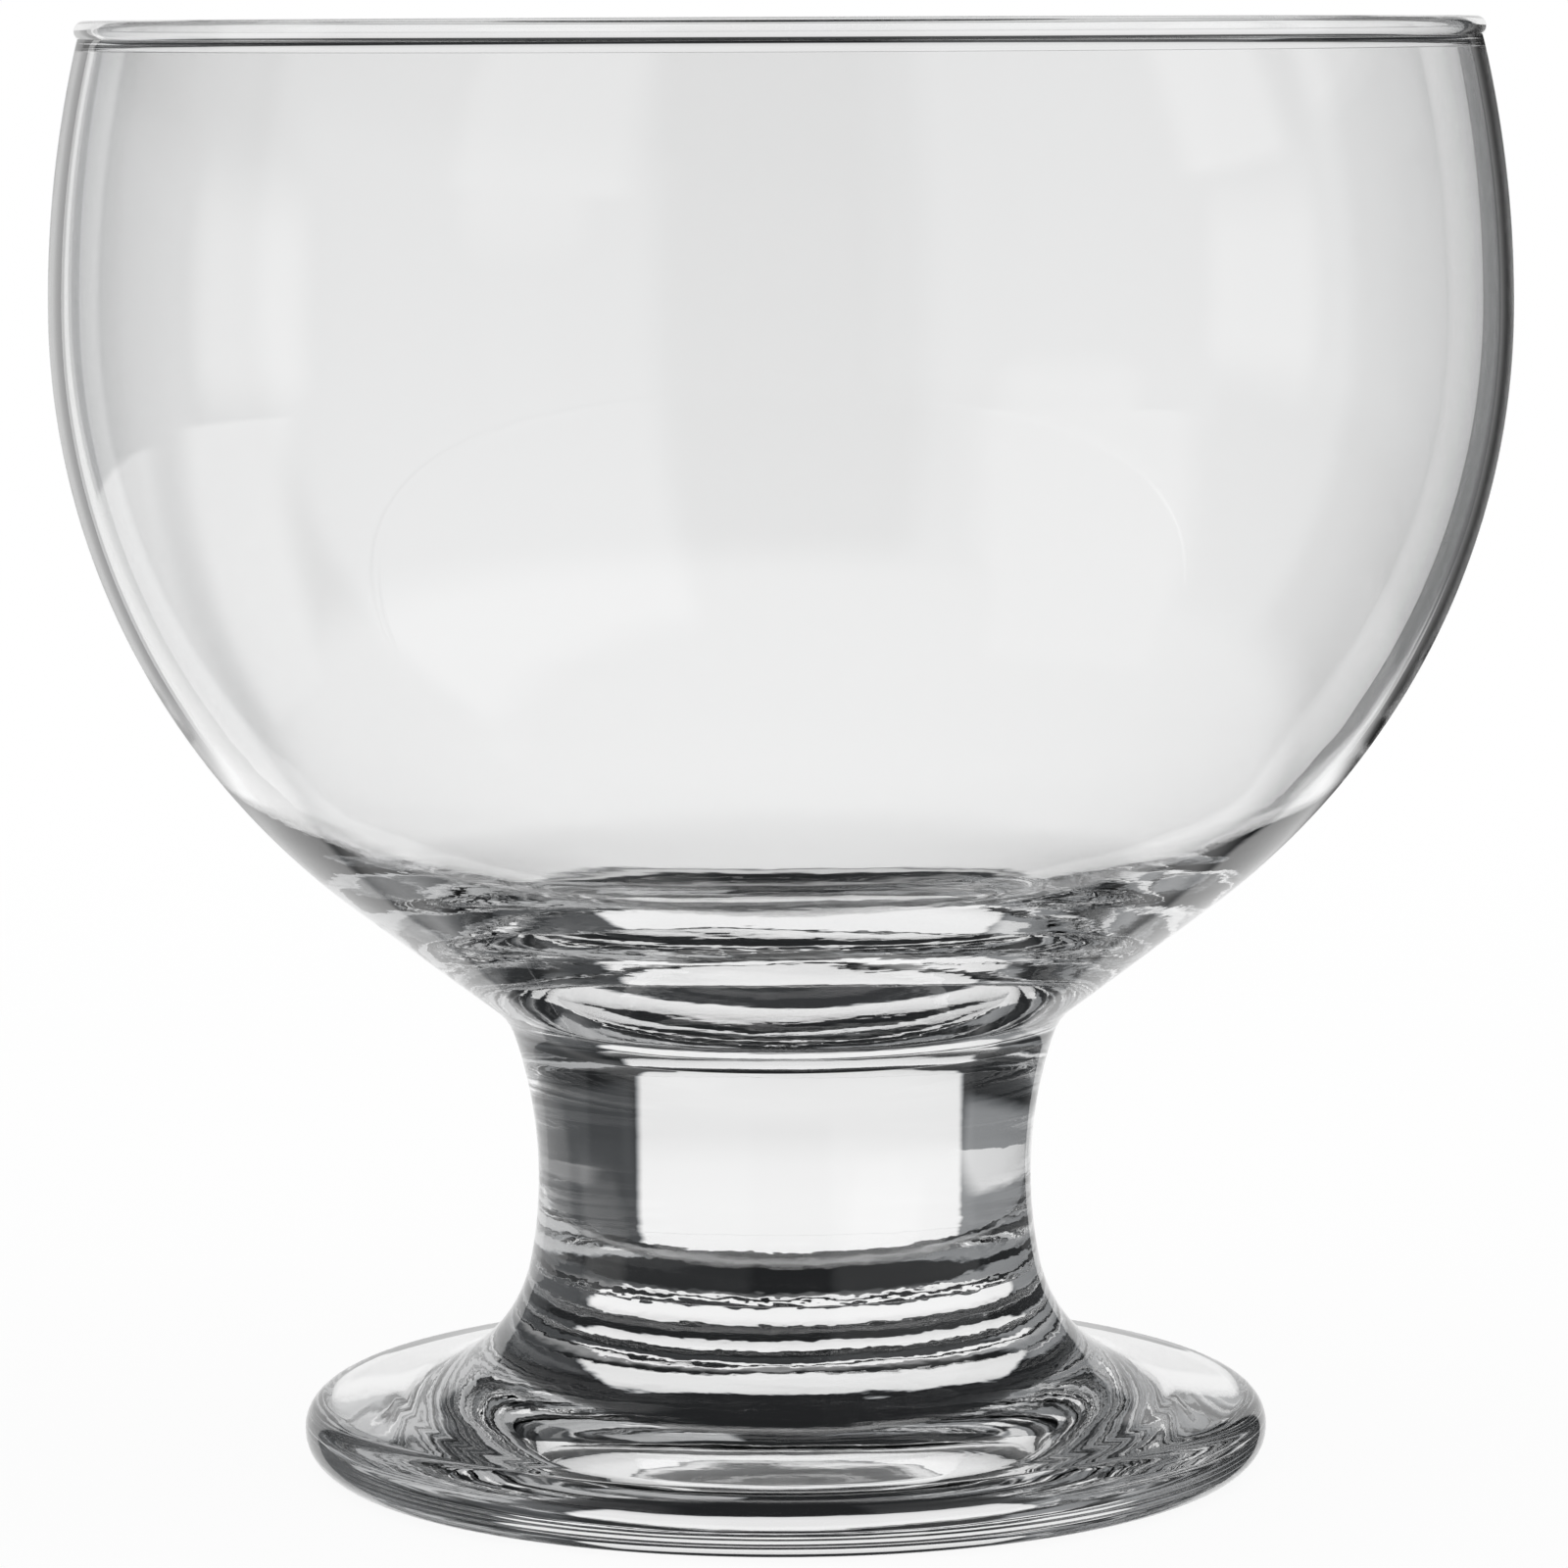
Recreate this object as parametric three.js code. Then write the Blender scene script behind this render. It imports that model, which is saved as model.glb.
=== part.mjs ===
// A footed dessert glass in clear soda-lime glass: a round thin-walled bowl, a short solid stem
// and a disc foot, three pieces that are fused hot at two flat seams.
// Millimetres, +Z up. The origin is the middle of the plane that the foot stands on.

import * as THREE from "three";

// Foot: a disc with a bull-nosed edge, a gently rising top and a flare up to the stem
const FOOT_RADIUS = 31.9;
const FOOT_EDGE_LOWER_ROUND = 2.35;
const FOOT_EDGE_UPPER_ROUND = 2.05;
const FOOT_EDGE_BAND = 0.1; // upright band between the two rounds
const FOOT_TOP_SLOPE = 8.3; // degrees above level
const FLARE_FILLET = 10.2;
const STANDING_RING_WIDTH = 4.6; // flat ring that touches the table
const UNDERSIDE_RISE = 0.6; // hollow under the middle of the foot

// Stem: solid, drawn in to a waist by one hollow arc
const WAIST_RADIUS = 16.3;
const WAIST_ARC = 29.6;
const STEM_BELOW_WAIST = 5.85;
const STEM_ABOVE_WAIST = 9.4;

// Bowl, outside: a shoulder out of the stem, a short cone, then round up to the belly and in to the rim
const SHOULDER_FILLET = 4.1;
const CONE_SLOPE = 37.3; // degrees above level
const CONE_LENGTH = 11.7;
const BELLY_RADIUS = 47.6;
const UPPER_WALL_ARC = 75;
const RIM_ABOVE_BELLY = 19;

// Bowl, inside: a thin wall that thickens into a heavy dished floor
const RIM_BEAD_RADIUS = 0.68; // fire-polished bead
const RIM_WALL = 0.95; // just under the bead
const BELLY_WALL = 1;
const LOWER_WALL = 1.05; // at the slope where the thickening starts
const THICKENING_SLOPE = 51; // degrees above level
const FLOOR_SLOPE = 32; // degrees above level, where the round above the floor meets its dish
const FLOOR_THICKNESS = 3.5; // glass between the middle of the floor and the stem's seam

// Facets: how far a chord may stray from its arc, and steps round the axis
const CHORD_SAG = 0.06;
const TURN_STEPS = 64;

const QUARTER = Math.PI / 2;
const radians = THREE.MathUtils.degToRad;

// Outlines hold (radius, height) points. A direction is an angle up from the outward radius.
const at = (radius, height) => new THREE.Vector2(radius, height);
const along = (start, angle, distance) =>
  at(start.x + distance * Math.cos(angle), start.y + distance * Math.sin(angle));

/** Points of an arc, from one direction to another as seen from its centre. */
function arc(centre, radius, from, to) {
  const chordAngle = 2 * Math.acos(1 - CHORD_SAG / radius);
  const steps = Math.max(2, Math.ceil(Math.abs(to - from) / chordAngle));
  return new THREE.ArcCurve(centre.x, centre.y, radius, from, to, to < from).getPoints(steps);
}

/** Turns an outline about the axis into a named solid. */
function turn(name, outline, finish) {
  const apart = (point, index) => index === 0 || point.distanceTo(outline[index - 1]) > CHORD_SAG / 100;
  const geometry = new THREE.LatheGeometry(outline.filter(apart), TURN_STEPS);
  geometry.rotateX(QUARTER);
  const solid = new THREE.Mesh(geometry, new THREE.MeshStandardMaterial(finish));
  solid.name = name;
  return solid;
}

/** The stem's waist: its outline, the radius and lean of its two ends, and its height. */
function waist() {
  const centre = at(WAIST_RADIUS + WAIST_ARC, STEM_BELOW_WAIST);
  const footLean = Math.asin(STEM_BELOW_WAIST / WAIST_ARC);
  const bowlLean = Math.asin(STEM_ABOVE_WAIST / WAIST_ARC);
  return {
    outline: arc(centre, WAIST_ARC, Math.PI + footLean, Math.PI - bowlLean),
    footEnd: { radius: centre.x - WAIST_ARC * Math.cos(footLean), lean: footLean },
    bowlEnd: { radius: centre.x - WAIST_ARC * Math.cos(bowlLean), lean: bowlLean },
    height: STEM_BELOW_WAIST + STEM_ABOVE_WAIST,
  };
}

/** The foot's outline, from the middle of its underside round to the middle of its seam. */
function footOutline({ radius: seamRadius, lean }) {
  const ringOuter = FOOT_RADIUS - FOOT_EDGE_LOWER_ROUND;
  const ringInner = ringOuter - STANDING_RING_WIDTH;
  const domeArc = (ringInner ** 2 + UNDERSIDE_RISE ** 2) / (2 * UNDERSIDE_RISE);
  const domeCentre = at(0, UNDERSIDE_RISE - domeArc);
  const domeEdge = Math.atan2(-domeCentre.y, ringInner);

  const lowerCentre = at(ringOuter, FOOT_EDGE_LOWER_ROUND);
  const upperCentre = at(FOOT_RADIUS - FOOT_EDGE_UPPER_ROUND, FOOT_EDGE_LOWER_ROUND + FOOT_EDGE_BAND);
  const slope = radians(FOOT_TOP_SLOPE);
  const topNormal = QUARTER - slope;
  const topEdge = along(upperCentre, topNormal, FOOT_EDGE_UPPER_ROUND);

  // The flare turns from the top's slope to the stem's lean, and is no wider than the top leaves room for.
  const reach = Math.cos(lean) - Math.cos(topNormal);
  const flare = Math.min(FLARE_FILLET, (topEdge.x - seamRadius) / reach);
  const flareStart = seamRadius + flare * reach;
  const flareFoot = at(flareStart, topEdge.y + (topEdge.x - flareStart) * Math.tan(slope));
  const flareCentre = along(flareFoot, topNormal, flare);

  const sides = [
    ...arc(domeCentre, domeArc, QUARTER, domeEdge),
    ...arc(lowerCentre, FOOT_EDGE_LOWER_ROUND, -QUARTER, 0),
    ...arc(upperCentre, FOOT_EDGE_UPPER_ROUND, 0, topNormal),
    ...arc(flareCentre, flare, Math.PI + topNormal, Math.PI + lean),
  ];
  const height = sides.at(-1).y;
  return { outline: [...sides, at(0, height)], height };
}

/** The bowl's outline, from the middle of its seam up the outside, over the rim and down the inside. */
function bowlOutline({ radius: seamRadius, lean }) {
  const cone = radians(CONE_SLOPE);
  const coneNormal = cone - QUARTER;
  const shoulderCentre = along(at(seamRadius, 0), -lean, SHOULDER_FILLET);
  const coneStart = along(shoulderCentre, coneNormal + Math.PI, SHOULDER_FILLET);
  const coneEnd = along(coneStart, cone, CONE_LENGTH);

  // The round below the belly leaves the cone in line with it and stands upright at the belly.
  const lowerArc = (BELLY_RADIUS - coneEnd.x) / (1 - Math.sin(cone));
  const bellyHeight = coneEnd.y + lowerArc * Math.cos(cone);
  const lowerCentre = at(BELLY_RADIUS - lowerArc, bellyHeight);
  const upperCentre = at(BELLY_RADIUS - UPPER_WALL_ARC, bellyHeight);

  // The bead is a round on the middle of the wall, which meets it half a wall to each side.
  const beadHalfAngle = Math.asin(RIM_WALL / 2 / RIM_BEAD_RADIUS);
  const beadHeight = bellyHeight + RIM_ABOVE_BELLY - RIM_BEAD_RADIUS;
  const wallTop = beadHeight - RIM_BEAD_RADIUS * Math.cos(beadHalfAngle);
  const wallTopAngle = Math.asin((wallTop - bellyHeight) / UPPER_WALL_ARC);
  const wallTopRadius = along(upperCentre, wallTopAngle, UPPER_WALL_ARC).x;
  const beadCentre = at(wallTopRadius - RIM_WALL / 2, beadHeight);

  // Inside, one arc runs from the rim's wall to the belly's, upright at the belly.
  const innerBelly = BELLY_RADIUS - BELLY_WALL;
  const drawIn = innerBelly - (wallTopRadius - RIM_WALL);
  const innerUpperArc = ((wallTop - bellyHeight) ** 2 + drawIn ** 2) / (2 * drawIn);
  const innerUpperCentre = at(innerBelly - innerUpperArc, bellyHeight);
  const innerTopAngle = Math.asin((wallTop - bellyHeight) / innerUpperArc);

  // Below the belly the inside is round too, with LOWER_WALL between the two at THICKENING_SLOPE.
  const thickening = radians(THICKENING_SLOPE);
  const spare = LOWER_WALL - BELLY_WALL * Math.sin(thickening);
  const innerLowerArc = lowerArc - spare / (1 - Math.sin(thickening));
  const innerLowerCentre = at(innerBelly - innerLowerArc, bellyHeight);
  const cornerTop = along(innerLowerCentre, thickening - QUARTER, innerLowerArc);

  // A tighter round then turns the wall to FLOOR_SLOPE, where a dish centred on the axis closes the floor.
  const floorSlope = radians(FLOOR_SLOPE);
  const dishDrop = Math.tan(floorSlope / 2); // fall of the dish per unit of its edge radius
  const roundDrop = Math.cos(floorSlope) - Math.cos(thickening);
  const roundReach = Math.sin(thickening) - Math.sin(floorSlope);
  const fall = cornerTop.y - FLOOR_THICKNESS;
  const cornerArc = (fall - cornerTop.x * dishDrop) / (roundDrop - roundReach * dishDrop);
  const cornerCentre = along(cornerTop, thickening + QUARTER, cornerArc);
  const dishEdge = along(cornerCentre, floorSlope - QUARTER, cornerArc);
  const dishArc = dishEdge.x / Math.sin(floorSlope);
  const dishCentre = at(0, FLOOR_THICKNESS + dishArc);

  return [
    at(0, 0),
    ...arc(shoulderCentre, SHOULDER_FILLET, Math.PI - lean, Math.PI + coneNormal),
    ...arc(lowerCentre, lowerArc, coneNormal, 0),
    ...arc(upperCentre, UPPER_WALL_ARC, 0, wallTopAngle),
    ...arc(beadCentre, RIM_BEAD_RADIUS, beadHalfAngle - QUARTER, 3 * QUARTER - beadHalfAngle),
    ...arc(innerUpperCentre, innerUpperArc, innerTopAngle, 0),
    ...arc(innerLowerCentre, innerLowerArc, 0, thickening - QUARTER),
    ...arc(cornerCentre, cornerArc, thickening - QUARTER, floorSlope - QUARTER),
    ...arc(dishCentre, dishArc, floorSlope - QUARTER, -QUARTER),
  ];
}

// Clear glass looks darker the thicker it is, so the solid stem and foot are a shade deeper than the bowl.
const THIN_GLASS = { color: 0xe6eae9, roughness: 0.03, metalness: 0, transparent: true, opacity: 0.35 };
const SOLID_GLASS = { color: 0xc9d0ce, roughness: 0.03, metalness: 0, transparent: true, opacity: 0.5 };

const stemShape = waist();
const footShape = footOutline(stemShape.footEnd);

const foot = turn("foot", footShape.outline, SOLID_GLASS);

const stem = turn("stem", [at(0, 0), ...stemShape.outline, at(0, stemShape.height)], SOLID_GLASS);
stem.position.z = footShape.height;

const bowl = turn("bowl", bowlOutline(stemShape.bowlEnd), THIN_GLASS);
bowl.position.z = footShape.height + stemShape.height;

const glass = new THREE.Group();
glass.add(foot, stem, bowl);

export default glass;
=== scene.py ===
"""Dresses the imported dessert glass: fine turned surfaces in clear glass, a studio and the photo's camera.

Sizes in the classes are millimetres and degrees, as on a maker's drawing. Meshes are in metres.
"""

import logging
import math
from abc import ABC, abstractmethod
from dataclasses import dataclass, field
from enum import Enum
from functools import cache

import bpy
import numpy as np
import numpy.typing as npt
from mathutils import Matrix, Vector


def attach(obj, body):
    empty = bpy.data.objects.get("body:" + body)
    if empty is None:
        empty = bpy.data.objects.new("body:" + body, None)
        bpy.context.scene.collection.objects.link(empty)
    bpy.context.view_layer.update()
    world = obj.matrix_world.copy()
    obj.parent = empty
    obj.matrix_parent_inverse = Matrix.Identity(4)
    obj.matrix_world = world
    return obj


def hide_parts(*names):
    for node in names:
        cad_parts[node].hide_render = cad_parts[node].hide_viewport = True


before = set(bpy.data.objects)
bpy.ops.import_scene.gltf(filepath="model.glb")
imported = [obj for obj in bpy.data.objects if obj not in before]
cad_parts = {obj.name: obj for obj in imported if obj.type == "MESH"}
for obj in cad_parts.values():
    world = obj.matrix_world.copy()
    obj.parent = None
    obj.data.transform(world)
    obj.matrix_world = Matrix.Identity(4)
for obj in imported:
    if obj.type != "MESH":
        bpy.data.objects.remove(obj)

Points = npt.NDArray[np.float64]
Point = tuple[float, float]
Term = bpy.types.NodeSocket | float

MM = 0.001
QUARTER = math.pi / 2
SEAM_NUDGE = 0.01
TOUCHING = 1e-6
LEAST_STEPS = 4
LARGEST_TURN = math.radians(4)
RAMP_TOP = 100
WHITE = (1.0, 1.0, 1.0, 1.0)
log = logging.getLogger("dessert_glass")


class Face(Enum):
    """What a piece's face is made of, as the index of its material slot."""

    GLASS = 0
    SEAM = 1


class Ray(Enum):
    """The kinds of ray that a stage surface tells apart, as Light Path names them."""

    CAMERA = "Is Camera Ray"
    SHADOW = "Is Shadow Ray"
    GLOSSY = "Is Glossy Ray"
    TRANSMITTED = "Is Transmission Ray"


# Outlines

def along(start: Point, angle: float, distance: float) -> Point:
    """The point a distance away from start, at an angle up from the outward radius, in radians."""
    return start[0] + distance * math.cos(angle), start[1] + distance * math.sin(angle)


@dataclass(frozen=True)
class Arc:
    """A round stretch of an outline, between two directions seen from its centre, in radians."""

    centre: Point
    radius: float
    start: float
    end: float

    def points(self, spacing: float) -> Points:
        """Evenly spaced points: centre + radius * (cos a, sin a) for a from start to end.

        Args:
            spacing: the longest step along the arc, in mm; a step is also never over four degrees.

        Returns:
            Rows of (radius, height), both ends included.
        """
        sweep = abs(self.end - self.start)
        steps = max(LEAST_STEPS, math.ceil(sweep * self.radius / spacing), math.ceil(sweep / LARGEST_TURN))
        angle = np.linspace(self.start, self.end, steps + 1)
        return np.column_stack((
            self.centre[0] + self.radius * np.cos(angle),
            self.centre[1] + self.radius * np.sin(angle),
        ))


@dataclass(frozen=True)
class Line:
    """A straight stretch of an outline."""

    start: Point
    end: Point

    def points(self, spacing: float) -> Points:
        """Evenly spaced points from start to end, both included."""
        steps = max(1, math.ceil(math.dist(self.start, self.end) / spacing))
        return np.linspace(self.start, self.end, steps + 1)


def chain(stretches: list[Arc | Line], spacing: float) -> Points:
    """Joins stretches that meet end to end into one outline.

    Each end of the outline also gets a point SEAM_NUDGE mm in, so that the surface leaves a seam at its true
    slope and the two glass pieces on it shade as one.

    Args:
        stretches: arcs and lines in order.
        spacing: the longest step along them, in mm.

    Returns:
        Rows of (radius, height) with doubled points left out.
    """
    points = np.vstack([stretch.points(spacing) for stretch in stretches])
    apart = np.linalg.norm(np.diff(points, axis=0), axis=1) > TOUCHING
    points = points[np.r_[True, apart]]
    step = np.diff(points, axis=0)
    nudge = SEAM_NUDGE * step / np.linalg.norm(step, axis=1)[:, None]
    first, last = points[:1], points[-1:]
    return np.vstack((first, first + nudge[:1], points[1:-1], last - nudge[-1:], last))


# Shader nodes

class NodeDesk:
    """Lays shader nodes out in one tree with short calls."""

    def __init__(self, tree: bpy.types.NodeTree) -> None:
        """Takes a node tree and clears it."""
        self.tree = tree
        tree.nodes.clear()

    def add(self, kind: str, **inputs: object) -> bpy.types.Node:
        """Adds a node and fills its inputs.

        Args:
            kind: Blender's name of the node type.
            inputs: values or sockets by input name, with _ for a space.

        Returns:
            The new node.
        """
        node = self.tree.nodes.new(kind)
        for name, value in inputs.items():
            self.feed(node.inputs[name.replace("_", " ")], value)
        return node

    def feed(self, target: bpy.types.NodeSocket, value: object) -> None:
        """Links a socket into target, or sets target to a plain value."""
        if isinstance(value, bpy.types.NodeSocket):
            self.tree.links.new(value, target)
        else:
            target.default_value = value

    def heading(self, way: Term) -> bpy.types.NodeSocket:
        """The heading of a direction or a place, as a Panel has it."""
        parts = self.add("ShaderNodeSeparateXYZ", Vector=way)
        return self.maths("DEGREES", self.maths("ARCTAN2", parts.outputs["X"], parts.outputs["Y"]))

    def part(self, vector: Term, axis: str) -> bpy.types.NodeSocket:
        """One part of a vector, by its axis."""
        return self.add("ShaderNodeSeparateXYZ", Vector=vector).outputs[axis]

    def maths(self, operation: str, *terms: Term) -> bpy.types.NodeSocket:
        """The result of a Math node on up to three terms."""
        node = self.tree.nodes.new("ShaderNodeMath")
        node.operation = operation
        for target, term in zip(node.inputs, terms):
            self.feed(target, term)
        return node.outputs[0]

    def vector(self, operation: str, first: Term, second: object = None) -> bpy.types.NodeSocket:
        """The result of a Vector Math node; SCALE takes its factor, and the rest a vector, as second."""
        node = self.tree.nodes.new("ShaderNodeVectorMath")
        node.operation = operation
        self.feed(node.inputs[0], first)
        if second is not None:
            self.feed(node.inputs["Scale" if operation == "SCALE" else 1], second)
        return node.outputs["Value" if operation == "LENGTH" else "Vector"]

    def ramp(self, value: Term, stops: list[Point]) -> bpy.types.NodeSocket:
        """A grey Color Ramp of value, straight between stops of (value, level)."""
        node = self.add("ShaderNodeValToRGB", Fac=value)
        marks = node.color_ramp.elements
        while len(marks) < len(stops):
            marks.new(1.0)
        for mark, (position, level) in zip(marks, stops):
            mark.position = position
            mark.color = (level, level, level, 1.0)
        return node.outputs["Color"]

    def ease(self, value: Term, low: Term, high: Term) -> bpy.types.NodeSocket:
        """A smooth step of value, from 0 at low to 1 at high."""
        node = self.add("ShaderNodeMapRange", Value=value, From_Min=low, From_Max=high)
        node.interpolation_type = "SMOOTHSTEP"
        return node.outputs[0]

    def band(self, value: Term, low: float, high: float, soft: float) -> bpy.types.NodeSocket:
        """1 where value lies between low and high and 0 outside, with soft edges."""
        rise = self.ease(value, low - soft, low + soft)
        fall = self.ease(value, high + soft, high - soft)
        return self.maths("MULTIPLY", rise, fall)

    def sector(self, heading: Term, centre: float, half_width: float, soft: float) -> bpy.types.NodeSocket:
        """1 where a heading lies within half_width of centre and 0 outside, with soft edges, in degrees."""
        off = self.maths("WRAP", self.maths("SUBTRACT", heading, centre), 180.0, -180.0)
        return self.band(off, -half_width, half_width, soft)

    def ray(self, *kinds: Ray) -> bpy.types.NodeSocket:
        """1 for rays of any of these kinds, else 0."""
        path = self.tree.nodes.new("ShaderNodeLightPath")
        total = path.outputs[kinds[0].value]
        for kind in kinds[1:]:
            total = self.maths("MAXIMUM", total, path.outputs[kind.value])
        return total

    def mix(self, share: Term, first: bpy.types.Node, second: bpy.types.Node) -> bpy.types.Node:
        """A Mix Shader node that goes from first to second as share goes from 0 to 1."""
        node = self.add("ShaderNodeMixShader", Fac=share)
        self.tree.links.new(first.outputs[0], node.inputs[1])
        self.tree.links.new(second.outputs[0], node.inputs[2])
        return node


def blank(name: str) -> tuple[bpy.types.Material, NodeDesk]:
    """Makes an empty material and the desk for its nodes."""
    made = bpy.data.materials.new(name)
    made.use_nodes = True
    return made, NodeDesk(made.node_tree)


def placed(name: str, data: bpy.types.ID) -> bpy.types.Object:
    """Makes an object of a mesh, lamp or camera and puts it in the scene."""
    made = bpy.data.objects.new(name, data)
    bpy.context.scene.collection.objects.link(made)
    return made


# Finishes

@dataclass(frozen=True)
class Unevenness:
    """Slight waves in a glass skin, drawn out round the axis as the hot glass was turned.

    Args:
        size: the waves' width across the turning, in mm.
        height: their height, in mm.
        detail: how many finer waves ride on them.
        amounts: (height above the table in mm, share of the waves there), with straight lines between.
        drawn_from: the radius in mm from which the waves are drawn out.
    """

    size: float
    height: float
    detail: float
    amounts: tuple[Point, ...]
    drawn_from: float = 8.0

    def waves(self, desk: NodeDesk, place: Term) -> bpy.types.NodeSocket:
        """Noise drawn out round the axis.

        A point at radius r is looked up at radius min(r, drawn_from), with r itself as the noise's fourth
        coordinate, so the waves grow longer round the axis with r but no wider.

        Args:
            desk: the material's nodes.
            place: the Object coordinates.

        Returns:
            The waves, from 0 to 1.
        """
        level = desk.vector("MULTIPLY", place, (1.0, 1.0, 0.0))
        away = desk.vector("LENGTH", level)
        near = desk.maths("DIVIDE", desk.maths("MINIMUM", away, self.drawn_from * MM), away)
        upright = desk.vector("MULTIPLY", place, (0.0, 0.0, 1.0))
        noise = desk.tree.nodes.new("ShaderNodeTexNoise")
        noise.noise_dimensions = "4D"
        desk.feed(noise.inputs["Vector"], desk.vector("ADD", desk.vector("SCALE", level, near), upright))
        desk.feed(noise.inputs["W"], away)
        desk.feed(noise.inputs["Scale"], 1 / (self.size * MM))
        desk.feed(noise.inputs["Detail"], self.detail)
        return noise.outputs[0]

    def tilt(self, desk: NodeDesk, place: Term, waves: Term) -> bpy.types.Node:
        """A Bump node for the waves, with their share set by the height above the table."""
        part_way_up = desk.maths("DIVIDE", desk.part(place, "Z"), RAMP_TOP * MM)
        share = desk.ramp(part_way_up, [(height / RAMP_TOP, amount) for height, amount in self.amounts])
        return desk.add("ShaderNodeBump", Strength=share, Height=waves, Distance=self.height * MM)


@dataclass(frozen=True)
class ClearGlass:
    """Clear soda-lime glass with a fire-polished skin that is never quite even.

    Two sizes of unevenness tilt the skin: the slow swell of hot glass that set while it moved, and the fine
    chill marks of the mould. Both are strongest in the thick glass of the flare and the bowl's floor, and
    all but gone in the blown wall.
    """

    name: str = "clear_soda_glass"
    ior: float = 1.52
    tint: tuple[float, float, float] = (0.991, 0.992, 0.992)
    polish: Point = (0.0, 0.012)
    swell_span: Point = (0.3, 0.7)
    swell: Unevenness = Unevenness(5.0, 0.16, 1.0, (
        (0.0, 0.35), (5.0, 0.45), (8.0, 0.8), (13.0, 0.45), (18.0, 0.12), (26.0, 0.1), (30.0, 0.6),
        (42.0, 0.5), (56.0, 0.012),
    ))
    chill: Unevenness = Unevenness(0.7, 0.018, 1.5, (
        (0.0, 0.1), (5.0, 0.15), (9.0, 1.0), (14.0, 1.0), (18.0, 0.3), (26.0, 0.15), (30.0, 0.4),
        (38.0, 0.3), (50.0, 0.0),
    ))

    @cache
    def material(self) -> bpy.types.Material:
        """Makes the material, once: a transmitting shader whose roughness and skin come from noise.

        Returns:
            The material, which reads Object coordinates only.
        """
        made, desk = blank(self.name)
        place = desk.add("ShaderNodeTexCoord").outputs["Object"]
        swell = self.swell.waves(desk, place)
        broad = self.swell.tilt(desk, place, swell)
        fine = self.chill.tilt(desk, place, self.chill.waves(desk, place))
        desk.feed(fine.inputs["Normal"], broad.outputs[0])
        gloss = desk.add("ShaderNodeMapRange", Value=swell, From_Min=self.swell_span[0],
                         From_Max=self.swell_span[1], To_Min=self.polish[0], To_Max=self.polish[1])
        glass = desk.add("ShaderNodeBsdfPrincipled", Base_Color=(*self.tint, 1.0), IOR=self.ior,
                         Roughness=gloss.outputs[0], Transmission_Weight=1.0, Normal=fine.outputs[0])
        desk.add("ShaderNodeOutputMaterial", Surface=glass.outputs[0])
        return made


@dataclass(frozen=True)
class FusedSeam:
    """The face inside a hot-fused joint: glass on both sides, so light passes it unbent."""

    name: str = "fused_seam"

    @cache
    def material(self) -> bpy.types.Material:
        """Makes the material, once, which shows nothing.

        Returns:
            The material.
        """
        made, desk = blank(self.name)
        unseen = desk.add("ShaderNodeBsdfPrincipled", Alpha=0.0)
        desk.add("ShaderNodeOutputMaterial", Surface=unseen.outputs[0])
        return made


# Pieces of the glass

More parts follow.
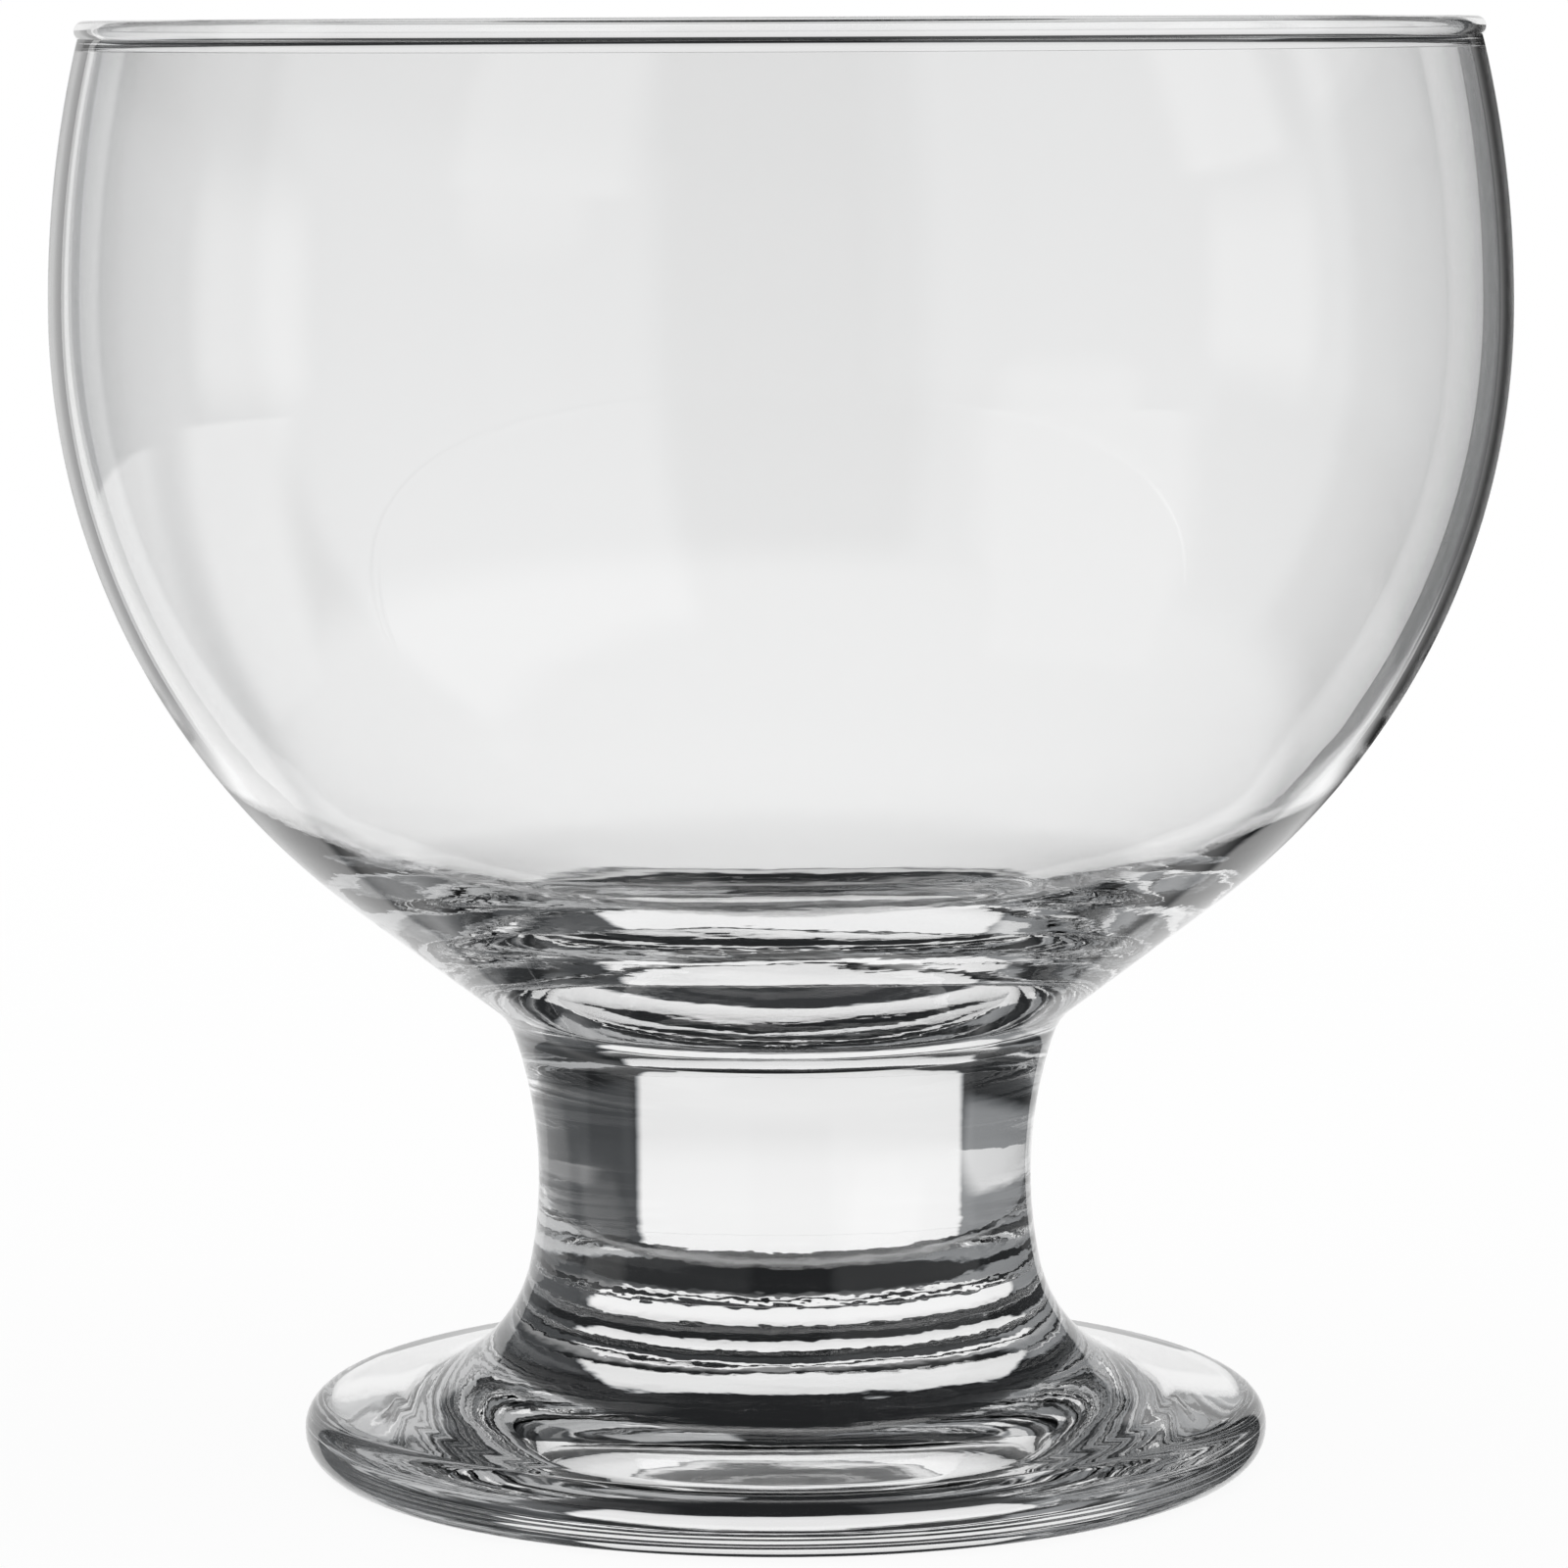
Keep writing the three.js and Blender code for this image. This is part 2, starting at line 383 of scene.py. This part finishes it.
@dataclass
class TurnedPiece(ABC):
    """One piece of glass, turned about the glass's axis.

    Its outline runs from axis to axis, counter-clockwise as seen with the axis on the left, so that the
    faces point outwards.
    """

    finish: ClearGlass
    seam: FusedSeam
    base: float = 0.0
    node: str = field(init=False, default="")
    steps: int = field(init=False, default=320)
    spacing: float = field(init=False, default=0.4)
    seam_below: bool = field(init=False, default=False)
    seam_above: bool = field(init=False, default=False)

    @abstractmethod
    def stretches(self) -> list[Arc | Line]:
        """The arcs and lines of the outline, with heights from the piece's own base."""

    def surface(self) -> tuple[Points, list[list[int]], npt.NDArray[np.int32]]:
        """Turns the outline about the axis.

        A point of the surface is (r(u) cos v, r(u) sin v, z(u)), with u along the outline and v round the
        axis. The outline's two ends lie on the axis or are closed to it by a fan of triangles.

        Returns:
            The vertices in metres, the faces, and each face's kind as a value of Face.
        """
        outline = chain(self.stretches(), self.spacing)
        rings = outline[outline[:, 0] > TOUCHING]
        turn = np.arange(self.steps) * (2 * math.pi / self.steps)
        radius = rings[:, :1]
        height = np.repeat(rings[:, 1:] + self.base, self.steps, axis=1)
        grid = np.stack((radius * np.cos(turn), radius * np.sin(turn), height), axis=-1)
        poles = np.array([[0, 0, outline[0, 1] + self.base], [0, 0, outline[-1, 1] + self.base]])
        vertices = np.vstack((grid.reshape(-1, 3), poles)) * MM

        here = np.arange(self.steps)
        beside = (here + 1) % self.steps
        row = np.arange(len(rings) - 1)[:, None] * self.steps
        next_row = row + self.steps
        quads = np.stack((row + here, row + beside, next_row + beside, next_row + here), axis=-1)
        last = (len(rings) - 1) * self.steps
        low_pole = np.full(self.steps, len(vertices) - 2)
        high_pole = np.full(self.steps, len(vertices) - 1)
        below = np.column_stack((low_pole, beside, here))
        above = np.column_stack((high_pole, last + here, last + beside))
        kinds = np.full((len(rings) + 1) * self.steps, Face.GLASS.value, dtype=np.int32)
        if self.seam_below:
            kinds[-2 * self.steps:-self.steps] = Face.SEAM.value
        if self.seam_above:
            kinds[-self.steps:] = Face.SEAM.value
        return vertices, [*quads.reshape(-1, 4).tolist(), *below.tolist(), *above.tolist()], kinds

    def build(self) -> bpy.types.Object:
        """Makes the mesh object, dresses it and hands it to the frame.

        Returns:
            The object, which stands for the CAD node of the same name.
        """
        vertices, faces, kinds = self.surface()
        mesh = bpy.data.meshes.new(f"{self.node}_glass")
        mesh.from_pydata(vertices, [], faces)
        mesh.polygons.foreach_set("material_index", kinds)
        mesh.polygons.foreach_set("use_smooth", kinds == Face.GLASS.value)
        mesh.update()
        piece = placed(f"{self.node}_glass", mesh)
        self.dress(piece)
        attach(piece, "root")
        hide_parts(self.node)
        return piece

    def dress(self, piece: bpy.types.Object) -> None:
        """Gives the piece its glass and its seam, in the order of Face."""
        piece.data.materials.append(self.finish.material())
        piece.data.materials.append(self.seam.material())


@dataclass
class Stem(TurnedPiece):
    """The solid stem, drawn in to a waist by one hollow arc."""

    waist_radius: float = 16.3
    waist_arc: float = 29.6
    below_waist: float = 5.85
    above_waist: float = 9.4

    def __post_init__(self) -> None:
        """Names the node and the two seams."""
        self.node = "stem"
        self.seam_below = True
        self.seam_above = True

    @property
    def height(self) -> float:
        """From seam to seam."""
        return self.below_waist + self.above_waist

    @property
    def foot_lean(self) -> float:
        """How far the lower end leans out from upright, in radians."""
        return math.asin(self.below_waist / self.waist_arc)

    @property
    def bowl_lean(self) -> float:
        """How far the upper end leans out from upright, in radians."""
        return math.asin(self.above_waist / self.waist_arc)

    def end_radius(self, lean: float) -> float:
        """The stem's radius where its side leans this far."""
        return self.waist_radius + self.waist_arc * (1 - math.cos(lean))

    def stretches(self) -> list[Arc | Line]:
        """One arc about a centre outside the glass, level with the waist."""
        centre = (self.waist_radius + self.waist_arc, self.below_waist)
        return [Arc(centre, self.waist_arc, math.pi + self.foot_lean, math.pi - self.bowl_lean)]


@dataclass
class Foot(TurnedPiece):
    """The disc foot: hollowed underside, flat standing ring, bull-nosed edge and a flare up to the stem."""

    stem: Stem | None = None
    radius: float = 31.9
    lower_round: float = 2.35
    upper_round: float = 2.05
    edge_band: float = 0.1
    top_slope: float = 8.3
    flare: float = 10.2
    ring_width: float = 4.6
    hollow: float = 0.6

    def __post_init__(self) -> None:
        """Names the node and its one seam."""
        self.node = "foot"
        self.seam_above = True

    @property
    def height(self) -> float:
        """From the table to the seam."""
        return self.stretches()[-1].points(self.spacing)[-1, 1]

    def stretches(self) -> list[Arc | Line]:
        """Underside dome, standing ring, two rounds of the edge, sloping top and flare."""
        lean = self.stem.foot_lean
        ring_outer = self.radius - self.lower_round
        ring_inner = ring_outer - self.ring_width
        dome = (ring_inner ** 2 + self.hollow ** 2) / (2 * self.hollow)
        dome_edge = math.atan2(dome - self.hollow, ring_inner)
        slope = math.radians(self.top_slope)
        normal = QUARTER - slope
        upper = (self.radius - self.upper_round, self.lower_round + self.edge_band)
        top_edge = along(upper, normal, self.upper_round)
        start = self.stem.end_radius(lean) + self.flare * (math.cos(lean) - math.cos(normal))
        flare_foot = (start, top_edge[1] + (top_edge[0] - start) * math.tan(slope))
        return [
            Arc((0.0, self.hollow - dome), dome, QUARTER, dome_edge),
            Line((ring_inner, 0.0), (ring_outer, 0.0)),
            Arc((ring_outer, self.lower_round), self.lower_round, -QUARTER, 0.0),
            Arc(upper, self.upper_round, 0.0, normal),
            Line(top_edge, flare_foot),
            Arc(along(flare_foot, normal, self.flare), self.flare, math.pi + normal, math.pi + lean),
        ]


@dataclass
class Bowl(TurnedPiece):
    """The blown bowl: shoulder, cone, round belly, beaded rim, and a wall that thickens into its floor."""

    stem: Stem | None = None
    shoulder: float = 4.1
    cone_slope: float = 37.3
    cone_length: float = 11.7
    belly: float = 47.6
    upper_arc: float = 75.0
    rim_above_belly: float = 19.0
    bead: float = 0.68
    rim_wall: float = 0.95
    belly_wall: float = 1.0
    lower_wall: float = 1.05
    thickening_slope: float = 51.0
    floor_slope: float = 32.0
    floor_thickness: float = 3.5

    def __post_init__(self) -> None:
        """Names the node and its one seam, and keeps the large surface to a coarser spacing."""
        self.node = "bowl"
        self.seam_below = True
        self.spacing = 0.8

    def outside(self) -> tuple[list[Arc | Line], Arc]:
        """The outside, from the seam up to the bead.

        Returns:
            The stretches in order, and the round below the belly, which the inside follows.
        """
        lean = self.stem.bowl_lean
        cone = math.radians(self.cone_slope)
        facing = cone - QUARTER
        shoulder = along((self.stem.end_radius(lean), 0.0), -lean, self.shoulder)
        cone_start = along(shoulder, facing + math.pi, self.shoulder)
        cone_end = along(cone_start, cone, self.cone_length)
        lower = (self.belly - cone_end[0]) / (1 - math.sin(cone))
        belly_height = cone_end[1] + lower * math.cos(cone)
        below_belly = Arc((self.belly - lower, belly_height), lower, facing, 0.0)
        rise = self.wall_top_above_belly()
        top_angle = math.asin(rise / self.upper_arc)
        above_belly = Arc((self.belly - self.upper_arc, belly_height), self.upper_arc, 0.0, top_angle)
        out_of_stem = Arc(shoulder, self.shoulder, math.pi - lean, math.pi + facing)
        return [out_of_stem, Line(cone_start, cone_end), below_belly, above_belly], below_belly

    def round_outline(self) -> Points:
        """The round part of the outside, from the cone up to the bead, at its place on the whole glass."""
        stretches, _ = self.outside()
        return chain(stretches[2:], self.spacing) + (0.0, self.base)

    def bead_half_angle(self) -> float:
        """Half the angle, at the bead's centre, that the wall takes up."""
        return math.asin(self.rim_wall / 2 / self.bead)

    def wall_top_above_belly(self) -> float:
        """How far above the belly the wall runs into the bead."""
        return self.rim_above_belly - self.bead * (1 + math.cos(self.bead_half_angle()))

    def stretches(self) -> list[Arc | Line]:
        """Up the outside, over the bead and down the inside to the middle of the floor."""
        outside, below_belly = self.outside()
        belly_height = below_belly.centre[1]
        rise = self.wall_top_above_belly()
        wall_top = outside[-1].points(self.spacing)[-1]
        half = self.bead_half_angle()
        bead_centre = (wall_top[0] - self.rim_wall / 2, belly_height + self.rim_above_belly - self.bead)
        bead = Arc(bead_centre, self.bead, half - QUARTER, 3 * QUARTER - half)

        inner_belly = self.belly - self.belly_wall
        draw_in = inner_belly - (wall_top[0] - self.rim_wall)
        upper = (rise ** 2 + draw_in ** 2) / (2 * draw_in)
        inner_upper = Arc((inner_belly - upper, belly_height), upper, math.asin(rise / upper), 0.0)

        thickening = math.radians(self.thickening_slope)
        spare = self.lower_wall - self.belly_wall * math.sin(thickening)
        lower = below_belly.radius - spare / (1 - math.sin(thickening))
        inner_lower = Arc((inner_belly - lower, belly_height), lower, 0.0, thickening - QUARTER)

        floor = math.radians(self.floor_slope)
        corner_top = along(inner_lower.centre, inner_lower.end, lower)
        dish_drop = math.tan(floor / 2)
        round_drop = math.cos(floor) - math.cos(thickening)
        round_reach = math.sin(thickening) - math.sin(floor)
        fall = corner_top[1] - self.floor_thickness
        corner = (fall - corner_top[0] * dish_drop) / (round_drop - round_reach * dish_drop)
        corner_centre = along(corner_top, thickening + QUARTER, corner)
        inner_corner = Arc(corner_centre, corner, thickening - QUARTER, floor - QUARTER)
        dish = along(inner_corner.centre, inner_corner.end, corner)[0] / math.sin(floor)
        inner_floor = Arc((0.0, self.floor_thickness + dish), dish, floor - QUARTER, -QUARTER)
        return [*outside, bead, inner_upper, inner_lower, inner_corner, inner_floor]


# Studio

@dataclass(frozen=True)
class Panel:
    """A soft-edged patch of light in the surroundings.

    The heading is in degrees from straight behind the glass, to the right positive; low and high are degrees
    above the horizon.
    """

    heading: float
    half_width: float
    low: float
    high: float
    level: float
    soft: float = 1.5


@dataclass(frozen=True)
class PaintedFloorLight:
    """A patch of painted light on the floor, seen only in the glass, between two distances from the glass,
    in mm.

    The heading is in degrees, as a Panel's.
    """

    heading: float
    half_width: float
    near: float
    far: float
    level: float
    soft: float = 10.0
    side_soft: float = 4.0


@dataclass(frozen=True)
class Flag:
    """A curved card that stands behind the bowl's edge, just out of the camera's sight; distances in mm.

    It follows the bowl's outline from gap to gap plus width outside it. The bowl's edge mirrors it as a fine
    line, which has the inner level near the outline and turns to the outer level between the two turns. The
    card fades away at the bowl's lower end, between the heights of fade, and where a ray meets it aslant.
    """

    name: str
    side: float
    inner_level: float
    outer_level: float
    turns: Point
    gap: float = 3.0
    width: float = 14.0
    back: float = 30.0
    fade: Point = (30.0, 40.0)
    aslant: Point = (0.2, 0.26)


@dataclass
class Studio:
    """A plain bright-field studio: a white sheet behind the glass, dark sides, and soft lights in front.

    The camera sees plain white round the glass. The glass shows the sheet, the panels, the patches of
    painted light on the floor, the painted shadow round the foot, the flags at its edges and the dark
    between them.
    """

    dark: float = 0.018
    shade: tuple[float, float, float] = (0.9, 0.95, 1.0)
    shade_end: float = 0.6
    sheet_left: float = 33.0
    sheet_right: float = 25.0
    sheet_low: float = -32.0
    sheet_high: float = 20.0
    sheet_side_soft: float = 1.2
    sheet_end_soft: float = 1.5
    sheet_spread: float = 0.004
    sheet_ramp: tuple[Point, ...] = (
        (-30.0, 0.96), (-12.0, 0.97), (-6.0, 0.95), (0.0, 0.865), (10.0, 0.86), (18.0, 0.76),
    )
    panels: tuple[Panel, ...] = (
        Panel(-4.0, 30.0, -50.0, -30.0, 0.045, 3.0),
        Panel(-54.5, 21.5, -45.0, 8.0, 0.29, 3.0),
        Panel(53.0, 28.0, -45.0, 12.0, 0.07, 3.0),
        Panel(-131.0, 33.0, -45.0, 15.0, 0.26, 4.0),
        Panel(119.5, 38.5, -35.0, 55.0, 0.48, 4.0),
        Panel(-90.0, 13.0, -10.0, 8.0, 0.85, 5.0),
        Panel(135.0, 14.0, -25.0, -3.0, 0.85, 7.0),
    )
    # Patches of painted light on the floor, seen only in the glass.
    painted_floor_lights: tuple[PaintedFloorLight, ...] = (
        PaintedFloorLight(-49.0, 19.0, 79.0, 360.0, 0.66),
        PaintedFloorLight(135.0, 17.0, 85.0, 390.0, 0.9),
        PaintedFloorLight(-90.0, 12.0, 90.0, 390.0, 0.85),
        PaintedFloorLight(54.0, 20.0, 95.0, 170.0, 0.15),
        # A grey ring of painted light under the standing ring, all round, seen through the foot.
        PaintedFloorLight(0.0, 190.0, 25.5, 29.0, 0.3, 2.0),
    )
    flags: tuple[Flag, ...] = (
        Flag("flag_left", -1.0, 0.54, 0.32, (9.0, 13.0)),
        Flag("flag_right", 1.0, 0.035, 0.25, (11.0, 17.0)),
    )
    floor_steps: int = 96
    floor_drop: float = 0.05
    floor_radius: float = 400.0
    floor_fade: float = 150.0
    floor_tone: tuple[float, float, float] = (0.95, 0.95, 0.95)
    floor_lit_share: float = 0.06
    floor_shows: float = 0.75
    # Distances in mm out to which the floor seen in the glass is left dark: a painted shadow round the foot.
    floor_painted_shadow_edge: Point = (42.0, 50.0)
    floor_steep: Point = (0.5, 0.62)
    lamp_level: float = 0.8
    lamp_spread: float = 100.0
    camera_distance: float = 434.6
    camera_height: float = 95.9
    camera_pitch: float = 6.69
    camera_roll: float = -0.24
    camera_aside: float = 0.06
    lens: float = 152.6
    sensor: float = 36.0
    nearest: float = 10.0
    bounces: int = 24
    glossy_bounces: int = 16

    def surroundings(self) -> bpy.types.World:
        """Makes the world: levels of light by direction, and plain white for the camera.

        Returns:
            The world, set on the scene.
        """
        world = bpy.data.worlds.new("studio")
        world.use_nodes = True
        desk = NodeDesk(world.node_tree)
        way = desk.add("ShaderNodeTexCoord").outputs["Generated"]
        heading = desk.heading(way)
        rise = desk.maths("DEGREES", desk.maths("ARCSINE", desk.part(way, "Z")))
        level = desk.maths("MAXIMUM", self.sheet(desk, heading, rise), self.dark)
        for panel in self.panels:
            level = desk.maths("MAXIMUM", level, self.patch(desk, panel, heading, rise))
        level = desk.maths("MAXIMUM", level, desk.ray(Ray.CAMERA))
        tone = desk.add("ShaderNodeValToRGB", Fac=level)
        tone.color_ramp.elements[0].color = (*self.shade, 1.0)
        tone.color_ramp.elements[1].position = self.shade_end
        light = desk.add("ShaderNodeBackground", Color=tone.outputs["Color"], Strength=level)
        desk.add("ShaderNodeOutputWorld", Surface=light.outputs[0])
        bpy.context.scene.world = world
        return world

    def sheet(self, desk: NodeDesk, heading: Term, rise: Term) -> bpy.types.NodeSocket:
        """The level of the white sheet behind the glass, which falls off upwards.

        Args:
            desk: the world's nodes.
            heading: a direction's heading, in degrees.
            rise: its height above the horizon, in degrees.

        Returns:
            The level as a socket.
        """
        part = desk.maths("DIVIDE", desk.maths("ADD", rise, 90.0), 180.0)
        ramp = desk.ramp(part, [((angle + 90) / 180, level) for angle, level in self.sheet_ramp])
        spread = desk.maths("MULTIPLY_ADD", rise, self.sheet_spread, 1.0)
        aside = desk.maths("MULTIPLY", heading, spread)
        wide = desk.band(aside, -self.sheet_left, self.sheet_right, self.sheet_side_soft)
        tall = desk.band(rise, self.sheet_low, self.sheet_high, self.sheet_end_soft)
        return desk.maths("MULTIPLY", desk.maths("MULTIPLY", wide, tall), ramp)

    def patch(self, desk: NodeDesk, panel: Panel, heading: Term, rise: Term) -> bpy.types.NodeSocket:
        """The level of one panel: its own level inside its soft edges and 0 outside.

        Args:
            desk: the world's nodes.
            panel: the panel.
            heading: a direction's heading, in degrees.
            rise: its height above the horizon, in degrees.

        Returns:
            The level as a socket.
        """
        wide = desk.sector(heading, panel.heading, panel.half_width, panel.soft)
        tall = desk.band(rise, panel.low, panel.high, panel.soft)
        return desk.maths("MULTIPLY", desk.maths("MULTIPLY", wide, tall), panel.level)

    def floor(self) -> bpy.types.Object:
        """Makes the pale floor, a disc that fades into the white round it and keeps the glass's soft shadow.

        The points of its rim are (r cos v, r sin v, -drop). The glass looks through it to the surroundings,
        which already hold the floor's light.

        Returns:
            The disc.
        """
        turn = np.arange(self.floor_steps) * (2 * math.pi / self.floor_steps)
        drop = np.full(self.floor_steps, -self.floor_drop)
        rim = np.column_stack((self.floor_radius * np.cos(turn), self.floor_radius * np.sin(turn), drop))
        mesh = bpy.data.meshes.new("floor")
        mesh.from_pydata(rim * MM, [], [list(range(self.floor_steps))])
        mesh.materials.append(self.floor_finish())
        disc = placed("floor", mesh)
        return disc

    def floor_finish(self) -> bpy.types.Material:
        """White that is partly its own and partly lit, so that a shadow shows on it.

        Returns:
            The floor's material.
        """
        made, desk = blank("pale_floor")
        place = desk.add("ShaderNodeTexCoord").outputs["Object"]
        away = desk.vector("LENGTH", place)
        edge = desk.ease(away, self.floor_fade * MM, self.floor_radius * MM)
        lit = desk.add("ShaderNodeBsdfDiffuse", Color=(*self.floor_tone, 1.0))
        own = desk.add("ShaderNodeEmission", Color=WHITE, Strength=1.0)
        pale = desk.mix(1 - self.floor_lit_share, lit, own)
        clear = desk.add("ShaderNodeBsdfTransparent")
        faded = desk.mix(edge, pale, clear)
        bare = desk.mix(desk.ray(Ray.TRANSMITTED, Ray.GLOSSY, Ray.SHADOW), faded, clear)
        # Rays from the glass see painted light on the floor: the patches of glow, and the floor past the
        # painted shadow round the foot.
        from_glass = desk.ray(Ray.TRANSMITTED, Ray.GLOSSY)
        in_glass = desk.maths("MULTIPLY", from_glass, self.painted_floor_light_level(desk, place, away))
        shown = desk.mix(in_glass, bare, own)
        desk.add("ShaderNodeOutputMaterial", Surface=shown.outputs[0])
        return made

    def painted_floor_light_level(self, desk: NodeDesk, place: Term, away: Term) -> bpy.types.NodeSocket:
        """Painted light of the floor in the glass: its patches of glow, and the floor seen steeply past the
        painted shadow.

        Args:
            desk: the floor's nodes.
            place: the place, in the floor's own coordinates.
            away: its distance from the middle.

        Returns:
            The level as a socket.
        """
        heading = desk.heading(place)
        facing = desk.maths("SUBTRACT", 1.0, desk.add("ShaderNodeLayerWeight", Blend=0.5).outputs["Facing"])
        # Inside these distances the floor stays dark in the glass: a painted shadow under and round the
        # foot.
        beside = desk.ease(away, *(limit * MM for limit in self.floor_painted_shadow_edge))
        steep = desk.ease(facing, *self.floor_steep)
        total = desk.maths("MULTIPLY", desk.maths("MULTIPLY", beside, steep), self.floor_shows)
        for card in self.painted_floor_lights:
            wide = desk.sector(heading, card.heading, card.half_width, card.side_soft)
            deep = desk.band(away, card.near * MM, card.far * MM, card.soft * MM)
            level = desk.maths("MULTIPLY", desk.maths("MULTIPLY", wide, deep), card.level)
            total = desk.maths("MAXIMUM", total, level)
        return total

    def stand(self, flag: Flag, outline: Points) -> bpy.types.Object:
        """Makes one flag, an upright strip between two curves beside the outline.

        A curve's points are the outline's, moved outwards along its normal, then moved away from the camera
        to the flag's distance, so that the camera sees them just outside the outline.

        Args:
            flag: the flag.
            outline: (radius, height) points up the outside of the bowl, in mm.

        Returns:
            The strip.
        """
        run = np.gradient(outline, axis=0)
        normal = np.column_stack((run[:, 1], -run[:, 0])) / np.linalg.norm(run, axis=1, keepdims=True)
        eye = np.array((0.0, -self.camera_distance, self.camera_height))
        offsets = (flag.gap, flag.gap + flag.width)
        curves = []
        for offset in offsets:
            edge = outline + offset * normal
            seen = np.column_stack((flag.side * edge[:, 0], np.zeros(len(edge)), edge[:, 1]))
            curves.append(eye + (seen - eye) * (1 + flag.back / self.camera_distance))
        count = len(outline)
        low = np.arange(count - 1)
        faces = np.column_stack((low, low + 1, low + 1 + count, low + count))
        mesh = bpy.data.meshes.new(flag.name)
        mesh.from_pydata(np.concatenate(curves) * MM, [], faces.tolist())
        across = np.repeat(offsets, count)[faces.ravel()]
        mesh.uv_layers.new(name="offset").uv.foreach_set("vector", np.repeat(across, 2).astype(np.float32))
        mesh.materials.append(self.flag_finish(flag))
        card = placed(flag.name, mesh)
        return card

    def flag_finish(self, flag: Flag) -> bpy.types.Material:
        """The flag's levels for rays that leave the glass towards its face, and nothing for the rest.

        Args:
            flag: the flag.

        Returns:
            The flag's material.
        """
        made, desk = blank(flag.name)
        place = desk.add("ShaderNodeTexCoord")
        turned = desk.ease(desk.part(place.outputs["UV"], "X"), *flag.turns)
        change = flag.outer_level - flag.inner_level
        level = desk.maths("MULTIPLY_ADD", turned, change, flag.inner_level)
        dark = desk.add("ShaderNodeEmission", Color=WHITE, Strength=level)
        clear = desk.add("ShaderNodeBsdfTransparent")
        aslant = desk.ease(desk.add("ShaderNodeLayerWeight", Blend=0.5).outputs["Facing"], *flag.aslant)
        to_face = desk.maths("SUBTRACT", desk.ray(Ray.TRANSMITTED, Ray.GLOSSY), aslant)
        height = desk.part(place.outputs["Object"], "Z")
        upper = desk.ease(height, *(limit * MM for limit in flag.fade))
        shown = desk.mix(desk.maths("MULTIPLY", to_face, upper), clear, dark)
        desk.add("ShaderNodeOutputMaterial", Surface=shown.outputs[0])
        return made

    def lamp(self) -> bpy.types.Object:
        """Makes the soft overhead lamp that casts the shadow on the floor.

        Returns:
            The lamp, left out of what the glass mirrors and shows.
        """
        light = bpy.data.lights.new("overhead", "SUN")
        light.energy = math.pi * self.lamp_level
        light.angle = math.radians(self.lamp_spread)
        lamp = placed("overhead", light)
        lamp.visible_glossy = False
        lamp.visible_transmission = False
        return lamp

    def camera(self) -> bpy.types.Object:
        """Makes the camera at the photo's place, just above the rim, and makes it the scene's.

        Returns:
            The camera.
        """
        view = bpy.data.cameras.new("photo_view")
        view.sensor_width = self.sensor
        view.lens = self.lens
        view.clip_start = self.nearest * MM
        eye = placed("photo_view", view)
        tilt = Matrix.Rotation(QUARTER - math.radians(self.camera_pitch), 4, "X")
        roll = Matrix.Rotation(math.radians(self.camera_roll), 4, "Z")
        spot = Vector((self.camera_aside, -self.camera_distance, self.camera_height)) * MM
        eye.matrix_world = Matrix.Translation(spot) @ tilt @ roll
        bpy.context.scene.camera = eye
        return eye

    def build(self, outline: Points) -> None:
        """Sets the whole studio up, with the plain view transform and enough bounces for thick glass.

        Args:
            outline: (radius, height) points up the outside of the bowl, in mm, for the flags to follow.
        """
        self.surroundings()
        self.floor()
        for flag in self.flags:
            self.stand(flag, outline)
        self.lamp()
        self.camera()
        scene = bpy.context.scene
        scene.view_settings.view_transform = "Standard"
        scene.cycles.max_bounces = self.bounces
        scene.cycles.transmission_bounces = self.bounces
        scene.cycles.glossy_bounces = self.glossy_bounces
        scene.cycles.transparent_max_bounces = self.bounces


def main() -> None:
    """Builds the studio and the three pieces of glass."""
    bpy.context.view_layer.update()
    seam = FusedSeam()
    glass = ClearGlass()
    stem = Stem(glass, seam)
    foot = Foot(glass, seam, stem=stem)
    stem.base = foot.height
    bowl = Bowl(glass, seam, stem=stem)
    bowl.base = stem.base + stem.height
    Studio().build(bowl.round_outline())
    for piece in (foot, stem, bowl):
        made = piece.build()
        heights = np.array(made.bound_box)[:, 2] / MM
        faces = len(made.data.polygons)
        log.info("%s: %d faces, from %.2f to %.2f mm", made.name, faces, heights.min(), heights.max())


if __name__ == "__main__":
    logging.basicConfig(level=logging.INFO)
    main()
